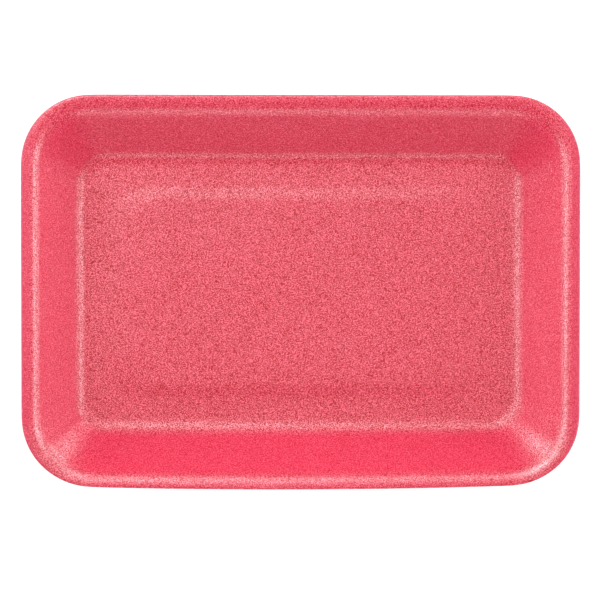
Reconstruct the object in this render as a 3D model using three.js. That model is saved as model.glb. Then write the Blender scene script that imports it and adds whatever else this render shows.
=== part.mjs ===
// A foam tray of the kind that holds prepared food, moulded in one piece from a sheet
// of rose-coloured foam. Millimetres, +Z up. The origin is the middle of the outline on
// the surface that the tray stands on, +X runs along the tray and +Y to its rear.
//
// The tray is one closed skin. At each station round its edge a section is drawn, from
// the middle of the floor, up the wall, over the lip and back along the underside. The
// sections have as many points each, and bands of triangles join them.

import * as THREE from 'three';

// Driving dimensions
const LENGTH = 213;                // outline, along X
const WIDTH = 150.4;               // outline, along Y at its middle
const HEIGHT = 23;                 // from the table to the crown of the lip
const FOAM_THICKNESS = 3.8;        // floor, wall and root of the lip
const PANEL_RISE = 0.7;            // raised panel in the floor

// Insets are measured from the moulded outline. The lip's trimmed edge lies a little off
// it: past it at the rear, and inside it at the front, where the edge bulges.
const REAR_TRIM = -0.4;
const FRONT_TRIM = 1.4;
const FRONT_BOW = 1.6;             // how far the front edge bulges at its middle
const BOW_REACH = 94;              // from the middle to where the bulge ends, along X

// The section differs from side to side: the radius of the lip and the inset of its
// crown, and the radius of the fillet and the inset of the floor's edge
const END_LIP = { radius: 5.2, crown: 2.95 };
const FRONT_LIP = { radius: 7.8, crown: 2.3 };
const REAR_LIP = { radius: 11, crown: 0.4 };
const END_FILLET = { radius: 7.2, floor: 25.3 };
const FRONT_FILLET = { radius: 9.6, floor: 27.7 };
const REAR_FILLET = { radius: 8, floor: 26.8 };
const BORDER_WIDTH = 6.6;          // flat floor outside the panel
const PANEL_SLOPE_WIDTH = 6.8;

// The lip past its crown, flat to the trimmed edge
const LEAST_FLANGE = 0.8;          // least distance from crown to trimmed edge
const EDGE_THICKNESS = 3.2;        // foam at the trimmed edge
const EDGE_ROUNDING = 0.4;         // its upper and lower corners

// Corner radii of the plan
const OUTLINE_RADIUS = 26;
const FLOOR_RADIUS = 8.5;
const PANEL_FOOT_RADIUS = 18;

// Fineness of the facets
const CORNER_STEPS = 9;
const LONG_SIDE_STEPS = 8;
const SHORT_SIDE_STEPS = 4;
const ARC_STEPS = 6;
const CURVE_STEPS = 5;

// The moulded outline, placed so that the trimmed one is centred on the origin
const mouldHalfX = LENGTH / 2;
const mouldHalfY = (WIDTH + FRONT_TRIM + REAR_TRIM) / 2;
const mouldY = (REAR_TRIM - FRONT_TRIM) / 2;

const { lerp } = THREE.MathUtils;

// Measures of the section at a station: its outward direction and its place along X
function measures(direction, x) {
  const long = Math.sin(direction) ** 2;
  const front = direction > Math.PI;
  const sideLip = front ? FRONT_LIP : REAR_LIP;
  const sideFillet = front ? FRONT_FILLET : REAR_FILLET;
  const bulge = FRONT_BOW * Math.max(0, 1 - (x / BOW_REACH) ** 2);
  const sideTrim = front ? FRONT_TRIM + FRONT_BOW - bulge : REAR_TRIM;
  const trim = lerp(0, sideTrim, long);
  return {
    trim,
    lipRadius: lerp(END_LIP.radius, sideLip.radius, long),
    crown: Math.max(trim + LEAST_FLANGE, lerp(END_LIP.crown, sideLip.crown, long)),
    filletRadius: lerp(END_FILLET.radius, sideFillet.radius, long),
    floor: lerp(END_FILLET.floor, sideFillet.floor, long),
  };
}

// The wall's slope, as the line that touches the lip's arc above and the fillet below
function wallSlope({ lipRadius, crown, filletRadius, floor }) {
  const across = floor - crown;
  const drop = HEIGHT - lipRadius - (FOAM_THICKNESS + filletRadius);
  const apart = Math.hypot(across, drop);
  return Math.atan2(drop, across) + Math.asin((lipRadius + filletRadius) / apart);
}

const up = Math.PI / 2;
const down = -Math.PI / 2;

// A point of a section
function at(inset, z) {
  return new THREE.Vector2(inset, z);
}

// A round stretch of a section, from one angle to another
function arc(inset, z, radius, from, to) {
  return new THREE.EllipseCurve(inset, z, radius, radius, from, to, to < from);
}

// Straight stretches of a section, through a list of points
function straights(...points) {
  const lines = [];
  for (let i = 1; i < points.length; i += 1) {
    lines.push(new THREE.LineCurve(points[i - 1], points[i]));
  }
  return lines;
}

// Upper face, from the panel to the crown of the lip: x is the inset and y the height
function upperFace(m) {
  const slope = wallSlope(m);
  const floorZ = FOAM_THICKNESS;
  const panelZ = floorZ + PANEL_RISE;
  const panelFoot = m.floor + BORDER_WIDTH;
  const panelTop = panelFoot + PANEL_SLOPE_WIDTH;
  const midSlope = (panelTop + panelFoot) / 2;
  const panelSlope = new THREE.CubicBezierCurve(
    at(panelTop, panelZ),
    at(midSlope, panelZ),
    at(midSlope, floorZ),
    at(panelFoot, floorZ),
  );
  const border = straights(at(panelFoot, floorZ), at(m.floor, floorZ));
  const filletZ = floorZ + m.filletRadius;
  const fillet = arc(m.floor, filletZ, m.filletRadius, down, down - slope);
  const lip = arc(m.crown, HEIGHT - m.lipRadius, m.lipRadius, up - slope, up);
  const wall = straights(fillet.getPoint(1), lip.getPoint(0));
  return [panelSlope, ...border, fillet, ...wall, lip];
}

// The lip past its crown: out to the trimmed edge, down it and back below the crown
function lipEdge({ crown, trim }) {
  const edgeBottom = HEIGHT - EDGE_THICKNESS;
  return straights(
    at(crown, HEIGHT),
    at(trim + EDGE_ROUNDING, HEIGHT),
    at(trim, HEIGHT - EDGE_ROUNDING),
    at(trim, edgeBottom + EDGE_ROUNDING),
    at(trim + EDGE_ROUNDING, edgeBottom),
    at(crown, HEIGHT - FOAM_THICKNESS),
  );
}

// Points along joined curves, each with the direction square to them out of the foam
function sampled(curves) {
  const points = [];
  for (const curve of curves) {
    let steps = 1;
    if (curve.isEllipseCurve) {
      steps = ARC_STEPS;
    } else if (!curve.isLineCurve) {
      steps = CURVE_STEPS;
    }
    for (let i = points.length ? 1 : 0; i <= steps; i += 1) {
      const point = curve.getPoint(i / steps);
      const along = curve.getTangent(i / steps);
      points.push({ inset: point.x, z: point.y, acrossInset: along.y, acrossZ: -along.x });
    }
  }
  return points;
}

// Corner radius of the plan, which shrinks inwards at a rate of its own on each part
function cornerRadius(inset, { crown, floor }) {
  const { mapLinear } = THREE.MathUtils;
  const crownRadius = OUTLINE_RADIUS - crown;
  const panelFoot = floor + BORDER_WIDTH;
  if (inset < crown) {
    return OUTLINE_RADIUS - inset;
  }
  if (inset < floor) {
    return mapLinear(inset, crown, floor, crownRadius, FLOOR_RADIUS);
  }
  if (inset < panelFoot) {
    return mapLinear(inset, floor, panelFoot, FLOOR_RADIUS, PANEL_FOOT_RADIUS);
  }
  return PANEL_FOOT_RADIUS - (inset - panelFoot);
}

// A whole section, from the middle of the upper face round to the middle of the lower
function section(m) {
  const upper = [];
  const lower = [];
  for (const p of sampled(upperFace(m))) {
    const shift = FOAM_THICKNESS * p.acrossInset;
    const radius = cornerRadius(p.inset, m);
    upper.push({ inset: p.inset, z: p.z, radius });
    lower.push({
      inset: p.inset - shift,
      z: p.z - FOAM_THICKNESS * p.acrossZ,
      radius: radius + shift,
    });
  }
  const rim = sampled(lipEdge(m)).slice(1, -1).map((p) => (
    { inset: p.inset, z: p.z, radius: cornerRadius(p.inset, m) }
  ));
  return [...upper, ...rim, ...lower.reverse()];
}

// Where a section's point lies at a place on a corner, for an outward direction
function onCorner(direction, { inset, z, radius }) {
  const centreX = Math.sign(Math.cos(direction)) * (mouldHalfX - inset - radius);
  const centreY = Math.sign(Math.sin(direction)) * (mouldHalfY - inset - radius);
  return new THREE.Vector3(
    centreX + radius * Math.cos(direction),
    mouldY + centreY + radius * Math.sin(direction),
    z,
  );
}

// The corner's stations: its first and last directions are just inside its quarter turn,
// so that they belong to that corner
function cornerDirections(quarter) {
  const inside = 1e-6;
  const directions = [];
  for (let i = 0; i <= CORNER_STEPS; i += 1) {
    const turn = THREE.MathUtils.clamp(i / CORNER_STEPS, inside, 1 - inside);
    directions.push((quarter + turn) * Math.PI / 2);
  }
  return directions;
}

// All the way round, anticlockwise from the rear end of the right side: one section of
// points in space at each station
function stations() {
  const all = [];
  const outline = { inset: 0, z: 0, radius: OUTLINE_RADIUS };
  const sideSteps = [LONG_SIDE_STEPS, SHORT_SIDE_STEPS, LONG_SIDE_STEPS, SHORT_SIDE_STEPS];
  sideSteps.forEach((steps, quarter) => {
    const directions = cornerDirections(quarter);
    for (const direction of directions) {
      const points = section(measures(direction, onCorner(direction, outline).x));
      all.push(points.map((p) => onCorner(direction, p)));
    }
    const before = directions.at(-1);
    const after = cornerDirections((quarter + 1) % 4)[0];
    const fromX = onCorner(before, outline).x;
    const toX = onCorner(after, outline).x;
    for (let i = 1; i < steps; i += 1) {
      const along = i / steps;
      const points = section(measures(before, lerp(fromX, toX, along)));
      all.push(points.map((p) => onCorner(before, p).lerp(onCorner(after, p), along)));
    }
  });
  return all;
}

// The closed skin: bands of triangles between the stations, and a fan over the middle of
// the panel above and below
function traySkin() {
  const sections = stations();
  const rows = sections[0].length;
  const middleTop = new THREE.Vector3(0, mouldY, sections[0][0].z);
  const middleBottom = new THREE.Vector3(0, mouldY, sections[0][rows - 1].z);
  const vertices = [...sections.flat(), middleTop, middleBottom];
  const topIndex = vertices.length - 2;
  const bottomIndex = vertices.length - 1;
  const triangles = [];
  for (let i = 0; i < sections.length; i += 1) {
    const here = i * rows;
    const next = ((i + 1) % sections.length) * rows;
    triangles.push(topIndex, here, next);
    triangles.push(bottomIndex, next + rows - 1, here + rows - 1);
    for (let row = 0; row < rows - 1; row += 1) {
      triangles.push(here + row, here + row + 1, next + row + 1);
      triangles.push(here + row, next + row + 1, next + row);
    }
  }
  const geometry = new THREE.BufferGeometry().setFromPoints(vertices);
  geometry.setIndex(triangles);
  geometry.computeVertexNormals();
  return geometry;
}

const roseFoam = new THREE.MeshStandardMaterial({
  color: 0xe8647a,
  roughness: 0.55,
  metalness: 0,
});

const tray = new THREE.Mesh(traySkin(), roseFoam);
tray.name = 'tray';

const group = new THREE.Group();
group.add(tray);

export default group;
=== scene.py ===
"""A foam tray for prepared food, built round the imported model. Metres, +Z up."""

import math

import bmesh
import bpy
from mathutils import Euler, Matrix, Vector


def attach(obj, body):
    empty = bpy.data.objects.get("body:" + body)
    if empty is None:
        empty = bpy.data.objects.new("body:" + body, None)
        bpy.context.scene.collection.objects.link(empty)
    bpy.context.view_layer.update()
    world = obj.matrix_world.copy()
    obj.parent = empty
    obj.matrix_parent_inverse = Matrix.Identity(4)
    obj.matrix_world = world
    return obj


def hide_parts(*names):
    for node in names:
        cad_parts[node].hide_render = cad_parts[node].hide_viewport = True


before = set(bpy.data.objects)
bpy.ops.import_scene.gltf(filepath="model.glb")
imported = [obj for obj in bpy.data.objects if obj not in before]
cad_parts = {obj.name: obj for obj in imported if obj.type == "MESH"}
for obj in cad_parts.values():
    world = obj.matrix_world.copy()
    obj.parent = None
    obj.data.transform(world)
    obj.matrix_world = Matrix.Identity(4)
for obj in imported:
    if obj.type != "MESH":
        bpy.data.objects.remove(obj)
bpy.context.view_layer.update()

MM = 0.001

# The tray as the source has it, in millimetres. Insets are measured from the moulded
# outline.
HALF_LENGTH = 106.5
HALF_WIDTH = 75.7
MIDDLE_Y = -0.9
HEIGHT = 23.0
FOAM = 3.8  # thickness
PANEL_RISE = 0.7
OUTLINE_RADIUS = 26.0
FLOOR_RADIUS = 8.5
PANEL_FOOT_RADIUS = 18.0
BORDER = 6.6
PANEL_SLOPE = 6.8
END_SLOPE_EXTRA = 7.0  # the panel slopes more gently at the ends
EDGE_THICKNESS = 3.2
ROUNDING = 0.4
BOW = 1.6  # bulge of the front edge at its middle
BOW_REACH = 94.0

# Neighbouring loops that lie level would be bridged wrongly, so the panel's foot stands
# a little off the border and the flange droops a little
PANEL_FOOT_RISE = 0.04
FLANGE_DROOP = 0.08

# Loops up the fillet, measured from the floor, and over the lip, down from its crown
FILLET_RISES = (0.07, 0.28, 0.63, 1.12, 1.73, 2.45, 3.27, 4.3)
LIP_FALLS = (4.7, 3.8, 3, 2.3, 1.7, 1.18, 0.74, 0.4, 0.16, 0.04, 0)

# Loops down the trimmed edge: how far in, and how far below the crown
EDGE_LOOPS = ((0.12, 0.2), (0, 0.48), (0, 1), (0, 2.2), (0, 2.8), (0.12, 3.08))

# Loops of the underside: down from below the crown, and heights round the foot
UNDER_LIP_FALLS = (0, 0.1, 0.4, 0.9, 1.6, 2.4, 3.3)
FOOT_HEIGHTS = (4.8, 3.7, 2.7, 1.85, 1.15, 0.6, 0.22, 0.05)

# Loops between the ends of a slope
SHARES = (0.2, 0.4, 0.6, 0.8)

DEEP_ROSE = (0.31, 0, 0.006, 1)
PALE_ROSE = (0.78, 0.115, 0.178, 1)
# Painted bounce light and missing sheen: the deeper red mixed into the walls
PAINTED_BOUNCE_ROSE = (0.63, 0.019, 0.07, 1)
# The cut edge's own colour, also mixed in as painted shade on the flange and the brink
CUT_AND_SHADED_ROSE = (0.42, 0.033, 0.085, 1)

# Faces along each long side, each end and each corner of the outline
ALONG_SIDE = 32
ALONG_END = 20
AROUND_CORNER = 10

LEAST_STRAIGHT = 30.0  # the outline's straight edges are longer, and its others shorter
LIGHT_DISTANCE = 1.8  # metres


class Side:
    """Section of one side: radii of lip and fillet, insets of crown, floor and trim."""

    def __init__(self, lip, crown, fillet, floor, trim):
        self.lip = lip
        self.crown = crown
        self.fillet = fillet
        self.floor = floor
        self.trim = trim
        across = floor - crown
        drop = HEIGHT - lip - FOAM - fillet
        touching = math.asin((lip + fillet) / math.hypot(across, drop))
        self.slope = math.atan2(drop, across) + touching

    def lean(self, height, depth):
        """Lean of the wall's face from level at a height, depth deep in the foam."""
        on_lip = (height - HEIGHT + self.lip) / (self.lip - depth)
        on_fillet = (FOAM + self.fillet - height) / (self.fillet + depth)
        return min(self.slope, math.acos(min(1, max(on_lip, on_fillet))))

    def inset(self, height, depth):
        """Inset of the wall's face at a height, depth deep in the foam."""
        lean = self.lean(height, depth)
        lip_end = HEIGHT - self.lip + (self.lip - depth) * math.cos(self.slope)
        if height >= lip_end:
            return self.crown + (self.lip - depth) * math.sin(lean)
        fillet_end = FOAM + self.fillet - (self.fillet + depth) * math.cos(self.slope)
        outward = max(0, height - fillet_end) / math.tan(self.slope)
        return self.floor - (self.fillet + depth) * math.sin(lean) - outward


END = Side(lip=5.2, crown=2.95, fillet=7.2, floor=25.3, trim=0)
FRONT = Side(lip=7.8, crown=3.8, fillet=9.6, floor=27.7, trim=3.0)
REAR = Side(lip=11, crown=0.4, fillet=8, floor=26.8, trim=-0.4)


def between(start, end, share):
    return start + (end - start) * share


def deselect():
    bpy.ops.mesh.select_all(action="DESELECT")


def select_vertices(test):
    """Selects the showing vertices whose place, in millimetres, passes a test."""
    deselect()
    mesh = bmesh.from_edit_mesh(bpy.context.object.data)
    for vertex in mesh.verts:
        vertex.select = not vertex.hide and test(vertex.co / MM)
    mesh.select_flush_mode()
    bmesh.update_edit_mesh(bpy.context.object.data)


def divide_straight_edges(axis, pieces):
    """Divides the showing loop's two long edges that run along an axis."""
    deselect()
    mesh = bmesh.from_edit_mesh(bpy.context.object.data)
    for edge in mesh.edges:
        if not edge.hide:
            along = edge.verts[1].co - edge.verts[0].co
            edge.select = abs(along[axis]) > LEAST_STRAIGHT * MM
    bmesh.update_edit_mesh(bpy.context.object.data)
    bpy.ops.mesh.subdivide(number_cuts=pieces - 1)


def add_loop(height, end, front, rear, radius, bow=0):
    """Adds a rounded rectangle at a height, with an inset on each side. Its front bows
    out at the middle."""
    bpy.ops.mesh.select_all(action="SELECT")
    bpy.ops.mesh.hide()
    middle = Vector((0, MIDDLE_Y + (front - rear) / 2, height)) * MM
    bpy.ops.mesh.primitive_plane_add(size=MM, location=middle)
    length = 2 * (HALF_LENGTH - end)
    width = 2 * HALF_WIDTH - front - rear
    bpy.ops.transform.resize(value=(length, width, 1), center_override=middle)
    bpy.ops.mesh.bevel(
        offset=radius * MM, segments=AROUND_CORNER, profile=0.5, affect="VERTICES"
    )
    bpy.ops.mesh.delete(type="ONLY_FACE")
    divide_straight_edges(0, ALONG_SIDE)
    divide_straight_edges(1, ALONG_END)
    if bow:
        select_vertices(lambda place: abs(place.x) < 0.1 and place.y < 0)
        bpy.ops.transform.translate(
            value=(0, -bow * MM, 0),
            use_proportional_edit=True,
            proportional_edit_falloff="INVERSE_SQUARE",
            proportional_size=BOW_REACH * MM,
        )
    bpy.ops.mesh.reveal(select=False)


def select_open_edges():
    deselect()
    bpy.ops.mesh.select_non_manifold(
        use_multi_face=False, use_non_contiguous=False, use_verts=False
    )


def join_loop(*measures, **shaping):
    """Adds a loop and joins the skin's open edge to it."""
    add_loop(*measures, **shaping)
    select_open_edges()
    bpy.ops.mesh.bridge_edge_loops()


def fill_middle():
    select_open_edges()
    bpy.ops.mesh.fill_grid(span=ALONG_SIDE + AROUND_CORNER, offset=AROUND_CORNER // 2)


def floor_loop(height, further, radius):
    """Measures of a loop on the floor, further in than the fillet's edge."""
    end, front, rear = (side.floor + further for side in (END, FRONT, REAR))
    return (height, end, front, rear, radius)


def panel_loop(base, share):
    """Measures of a loop of the panel's slope, at a share of the way down it."""
    height, end, front, rear, radius = floor_loop(
        base + between(PANEL_RISE, PANEL_FOOT_RISE, share**2 * (3 - 2 * share)),
        BORDER + PANEL_SLOPE * (1 - share),
        PANEL_FOOT_RADIUS - PANEL_SLOPE * (1 - share),
    )
    return (height, end + END_SLOPE_EXTRA * (0.5 - share), front, rear, radius)


def join_wall_loop(height, depth):
    """Joins a loop of the wall's face at a height, depth deep in the foam."""
    end, front, rear = (side.inset(height, depth) for side in (END, FRONT, REAR))
    outward = depth * math.sin(END.lean(height, depth))
    down_wall = (end + outward - END.crown) / (END.floor - END.crown)
    radius = between(OUTLINE_RADIUS - END.crown, FLOOR_RADIUS, down_wall) + outward
    bow = BOW * (FRONT.floor - front) / (FRONT.floor - FRONT.crown)
    join_loop(height, end, front, rear, radius, bow=max(0, bow))


def join_flange_loop(share, inward, below):
    """Joins a loop of the flange, at a share of the way out from the lip's crown to
    inward of the trimmed edge, and below the crown."""
    end, front, rear = (
        between(side.crown, side.trim + inward, share) for side in (END, FRONT, REAR)
    )
    join_loop(HEIGHT - below, end, front, rear, OUTLINE_RADIUS - end, bow=BOW)


bpy.ops.object.select_all(action="DESELECT")
bpy.ops.mesh.primitive_plane_add(size=1)
tray = bpy.context.object
tray.name = "rose_tray"
bpy.ops.object.mode_set(mode="EDIT")
bpy.ops.mesh.delete(type="VERT")

# Panel and floor, from the middle outwards
add_loop(*panel_loop(FOAM, 0))
fill_middle()
for share in (*SHARES, 1):
    join_loop(*panel_loop(FOAM, share))
join_loop(*floor_loop(FOAM, 0, FLOOR_RADIUS))

# Up the wall
for rise in FILLET_RISES:
    join_wall_loop(FOAM + rise, 0)
for share in SHARES:
    join_wall_loop(between(FOAM + FILLET_RISES[-1], HEIGHT - LIP_FALLS[0], share), 0)
for fall in LIP_FALLS:
    join_wall_loop(HEIGHT - fall, 0)

# Out along the flange and down the trimmed edge
for share in (0.5, 1):
    join_flange_loop(share, ROUNDING, FLANGE_DROOP * share)
for inward, below in EDGE_LOOPS:
    join_flange_loop(1, inward, below)
join_flange_loop(1, ROUNDING, EDGE_THICKNESS)

# Down the underside, and the floor from below
for fall in UNDER_LIP_FALLS:
    join_wall_loop(HEIGHT - FOAM - fall, FOAM)
for share in SHARES:
    top = HEIGHT - FOAM - UNDER_LIP_FALLS[-1]
    join_wall_loop(between(top, FOOT_HEIGHTS[0], share), FOAM)
for height in FOOT_HEIGHTS:
    join_wall_loop(height, FOAM)
join_loop(*floor_loop(0, 0, FLOOR_RADIUS))
for share in (1, *reversed(SHARES), 0):
    join_loop(*panel_loop(0, share))
fill_middle()

bpy.ops.mesh.select_all(action="SELECT")
bpy.ops.mesh.normals_make_consistent(inside=False)

# Slight waviness of the floor and the walls, clear of the foot and of the lip
select_vertices(lambda place: 1 < place.z < 20)
bpy.ops.object.vertex_group_assign_new()
bpy.ops.object.mode_set(mode="OBJECT")
bpy.ops.object.modifier_add(type="DISPLACE")
waviness = tray.modifiers[0]
waviness.texture = bpy.data.textures.new("waviness", "CLOUDS")
waviness.texture.noise_scale = 20 * MM
waviness.vertex_group = tray.vertex_groups[0].name
waviness.strength = 0.4 * MM
bpy.ops.object.modifier_apply(modifier=waviness.name)

bpy.ops.object.modifier_add(type="SUBSURF")
smoothing = tray.modifiers[0]
smoothing.levels = 1
bpy.ops.object.modifier_apply(modifier=smoothing.name)
bpy.ops.object.shade_smooth()

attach(tray, "root")
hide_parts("tray")


class Value:
    """A number that varies over a finish, for formulas such as 1 - mask * 0.5."""

    def __init__(self, tree, socket):
        self.tree = tree
        self.socket = socket

    def math(self, operation, first, second=0, clamp=False):
        step = self.tree.nodes.new("ShaderNodeMath")
        step.operation = operation
        step.use_clamp = clamp
        for slot, number in zip(step.inputs, (first, second)):
            if isinstance(number, Value):
                self.tree.links.new(number.socket, slot)
            else:
                slot.default_value = number
        return Value(self.tree, step.outputs[0])

    def __add__(self, other):
        return self.math("ADD", self, other)

    def __radd__(self, other):
        return self.math("ADD", other, self)

    def __sub__(self, other):
        return self.math("SUBTRACT", self, other)

    def __rsub__(self, other):
        return self.math("SUBTRACT", other, self)

    def __mul__(self, other):
        return self.math("MULTIPLY", self, other)

    def __rmul__(self, other):
        return self.math("MULTIPLY", other, self)

    def __abs__(self):
        return self.math("ABSOLUTE", self)

    def root(self):
        return self.math("SQRT", self)

    def larger(self, other):
        return self.math("MAXIMUM", self, other)

    def ramp(self, start, end):
        """0 up to start and 1 past end, or the other way round if end is less."""
        share = self.math("DIVIDE", self - start, end - start, clamp=True)
        return share * share * (3 - 2 * share)


class Finish:
    """A material whose shader's sockets take formulas."""

    def __init__(self, name):
        self.material = bpy.data.materials.new(name)
        self.material.use_nodes = True
        self.tree = self.material.node_tree
        self.shader = self.tree.nodes["Principled BSDF"]

    def node(self, kind, output, settings=(), **values):
        """Adds a node and gives an output. Names of sockets may have _ for a space."""
        node = self.tree.nodes.new("ShaderNode" + kind)
        for setting, choice in dict(settings).items():
            setattr(node, setting, choice)
        for name, value in values.items():
            names = (name, name.replace("_", " "))
            self.feed(next(s for s in node.inputs if s.identifier in names), value)
        return Value(self.tree, next(s for s in node.outputs if s.identifier == output))

    def feed(self, socket, value):
        if isinstance(value, Value):
            self.tree.links.new(value.socket, socket)
        else:
            socket.default_value = value

    def set(self, **values):
        """Sets sockets of the shader."""
        for name, value in values.items():
            self.feed(self.shader.inputs[name.replace("_", " ")], value)

    def vector(self, operation, first, second=(0, 0, 0)):
        settings = {"operation": operation}
        values = {"Vector": first, "Vector_001": second}
        return self.node("VectorMath", "Vector", settings, **values)

    def mix(self, share, first, second):
        settings = {"data_type": "RGBA"}
        colours = {"A_Color": first, "B_Color": second}
        return self.node("Mix", "Result_Color", settings, Factor_Float=share, **colours)

    def noise(self, place, scale, detail, output="Fac"):
        return self.node("TexNoise", output, Vector=place, Scale=scale, Detail=detail)

    def cells(self, place, scale):
        return self.node("TexVoronoi", "Distance", Vector=place, Scale=scale)

    def part(self, axis, vector):
        return self.node("SeparateXYZ", axis, Vector=vector)


# The foam's finish. Places in it are in millimetres.
foam = Finish("rose_foam_skin")
here = foam.vector("MULTIPLY", foam.node("TexCoord", "Object"), (1000, 1000, 1000))
up = foam.part("Z", here)
facing_up = abs(foam.part("Z", foam.node("TexCoord", "Normal")))

# Distance in from the outline, as far as the lip reaches
along = foam.part("X", here)
across = foam.part("Y", here) - MIDDLE_Y
off_x = (abs(along) - (HALF_LENGTH - OUTLINE_RADIUS)).larger(0)
off_y = (abs(across) - (HALF_WIDTH - OUTLINE_RADIUS)).larger(0)
inset = OUTLINE_RADIUS - (off_x * off_x + off_y * off_y).root()

# Masks, 1 on the place named and 0 off it. The flange is that of the ends and the front
# corners, and the brink is the edge of all sides but the rear. The brink, the flange
# and the rear corners carry painted shade in the colour, and the front corners a
# painted highlight.
on_floor = up.ramp(7, 4.3)
on_lip = up.ramp(20.2, 22)
on_wall = 1 - on_floor.larger(on_lip)
on_flange = inset.ramp(3.6, 2.6) * abs(along).ramp(91, 101) * across.ramp(72, 48)
# Only painted shade: the outer edge, which turns away from the light
brink_shade = inset.ramp(1.6, 0.4) * across.ramp(74, 60)
# Painted highlight in the front corners and painted shade in the rear ones, in the
# colour
in_front_corner = abs(along).ramp(76, 90) * across.ramp(-44, -60)
in_rear_corner = abs(along).ramp(76, 90) * across.ramp(44, 60) * (1 - on_lip)
on_cut = facing_up.ramp(0.42, 0.2) * up.ramp(18.5, 19.8)

# Short wavy cells of the foam, drawn out along the tray
drift = foam.noise(here, 0.5, 1, "Color")
strayed = foam.vector("ADD", here, foam.vector("MULTIPLY", drift, (1.6, 1.6, 1.6)))
drawn_out = foam.vector("MULTIPLY", strayed, (0.82, 1.1, 1.1))
worms = foam.noise(drawn_out, 2.7, 1).ramp(0.36, 0.64)
crumbs = foam.noise(here, 5, 0).ramp(0.3, 0.7)
grain = (worms * 0.7 + crumbs * 0.3 - 0.5) * (1 + in_rear_corner * 0.4 + on_wall * 0.08)

# Larger unevenness, and the open cells of the cut edge
clouding = foam.noise(here, 0.035, 3) - 0.5
pores = foam.cells(here, 1.4) * on_cut

# The colour is paler where the cells stand up, and duller and darker where it was cut.
# Painted shade darkens the rear corners, the flange and the brink, and mixes the flange
# and the brink toward the cut edge's colour. The walls, and less so the lip, are mixed
# toward a deeper red: painted bounce light, which also stands for the sheen they lack.
# More of it on the flange and the rear corners is painted shade, and less of it in the
# front corners leaves a painted highlight.
tone = 0.318 + grain * 1.4 + clouding * 0.1 + pores * 0.4
# Painted shade: darker in the rear corners, on the flange and on the brink
tone = tone - in_rear_corner * 0.07 - on_cut * 0.3 - on_flange * 0.18 - brink_shade * 0.2
rosy = foam.mix(tone, DEEP_ROSE, PALE_ROSE)
# Painted bounce light and shade, less on the lip and least in the front corners
painted_bounce = (1 - on_floor) * 0.44 - on_lip * 0.26 + on_flange * 0.2
painted_bounce = painted_bounce + in_rear_corner * 0.04 - in_front_corner * 0.15
rosy = foam.mix(painted_bounce, rosy, PAINTED_BOUNCE_ROSE)
# The cut edge is dulled; the brink and the flange are dulled as painted shade
cut_and_shaded = (on_cut * 0.5).larger(brink_shade * 0.5).larger(on_flange * 0.22)
gloss = 0.52 + grain * 2.6 + on_lip * 0.36 - on_wall * 0.43
gloss = gloss + in_front_corner * 0.85 - in_rear_corner * 0.95
foam.set(
    Base_Color=foam.mix(cut_and_shaded, rosy, CUT_AND_SHADED_ROSE),
    Roughness=0.38 - on_lip * 0.13 + on_flange * 0.1 + on_cut * 0.25 - grain * 0.1,
    IOR=1.45,
    Coat_Weight=gloss - on_flange * 0.85 - on_cut,
    Coat_Roughness=0.3,
    Subsurface_Weight=0.2,
    Subsurface_Radius=(1, 0.35, 0.45),
    Subsurface_Scale=0.002,
    Normal=foam.node(
        "Bump", "Normal", Strength=1, Distance=MM, Height=grain * 0.05 + pores * 0.15
    ),
)
tray.data.materials.append(foam.material)

# Ground, which comes out white from above
bpy.ops.mesh.primitive_plane_add(size=8)
ground = bpy.context.object
ground.name = "ground"
pale = Finish("pale_ground")
pale.set(
    Base_Color=(0.62, 0.62, 0.62, 1),
    Roughness=0.9,
    Specular_IOR_Level=0,
    Emission_Color=(1, 1, 1, 1),
    Emission_Strength=0.55,
)
ground.data.materials.append(pale.material)

# Light
world = bpy.data.worlds.new("studio")
bpy.context.scene.world = world
world.use_nodes = True
background = world.node_tree.nodes["Background"]
background.inputs["Color"].default_value = (1, 1, 1, 1)
background.inputs["Strength"].default_value = 0.05


def soft_box(name, azimuth, tilt, width, height, strength):
    """A soft box that faces the tray: its direction seen from above, in degrees
    anticlockwise from the right, its angle from straight up, and its size in metres."""
    data = bpy.data.lights.new(name, "AREA")
    data.shape = "RECTANGLE"
    data.size = width
    data.size_y = height
    data.energy = strength * width * height * math.pi
    box = bpy.data.objects.new(name, data)
    bpy.context.scene.collection.objects.link(box)
    box.rotation_euler = Euler((math.radians(tilt), 0, math.radians(azimuth + 90)))
    direction = Vector((0, 0, 1))
    direction.rotate(box.rotation_euler)
    box.location = direction * LIGHT_DISTANCE
    box.visible_camera = False


soft_box("top", 90, 0, 0.7, 0.7, 0.5)
soft_box("key", 122, 23, 0.7, 0.7, 6)
soft_box("rear", 90, 33, 1.1, 0.7, 3.9)
soft_box("rear_right", 45, 50, 0.6, 0.7, 3.2)
soft_box("rear_left", 135, 50, 0.6, 0.7, 4.2)
soft_box("right", 0, 47, 0.9, 1.1, 6.2)
soft_box("left", 180, 47, 0.9, 1.1, 5.8)
soft_box("front", 270, 62, 0.9, 0.8, 3.2)
soft_box("front_low", 270, 80, 1.2, 0.5, 1.7)
soft_box("right_low", 0, 80, 0.8, 0.5, 5.3)
soft_box("left_low", 180, 80, 0.8, 0.5, 4.4)
soft_box("rear_right_low", 45, 80, 0.8, 0.5, 8.5)
soft_box("rear_left_low", 135, 80, 0.8, 0.5, 8.5)

# Camera
camera_data = bpy.data.cameras.new("camera")
camera = bpy.data.objects.new("camera", camera_data)
bpy.context.scene.collection.objects.link(camera)
bpy.context.scene.camera = camera
camera.location = (-0.049, 0.038, 1.2)
camera.rotation_euler = [math.radians(angle) for angle in (-1.858, -2.254, 0.028)]
camera_data.lens = 185.83
camera_data.shift_x = 0.009
camera_data.shift_y = -0.0114

bpy.context.scene.view_settings.view_transform = "Standard"
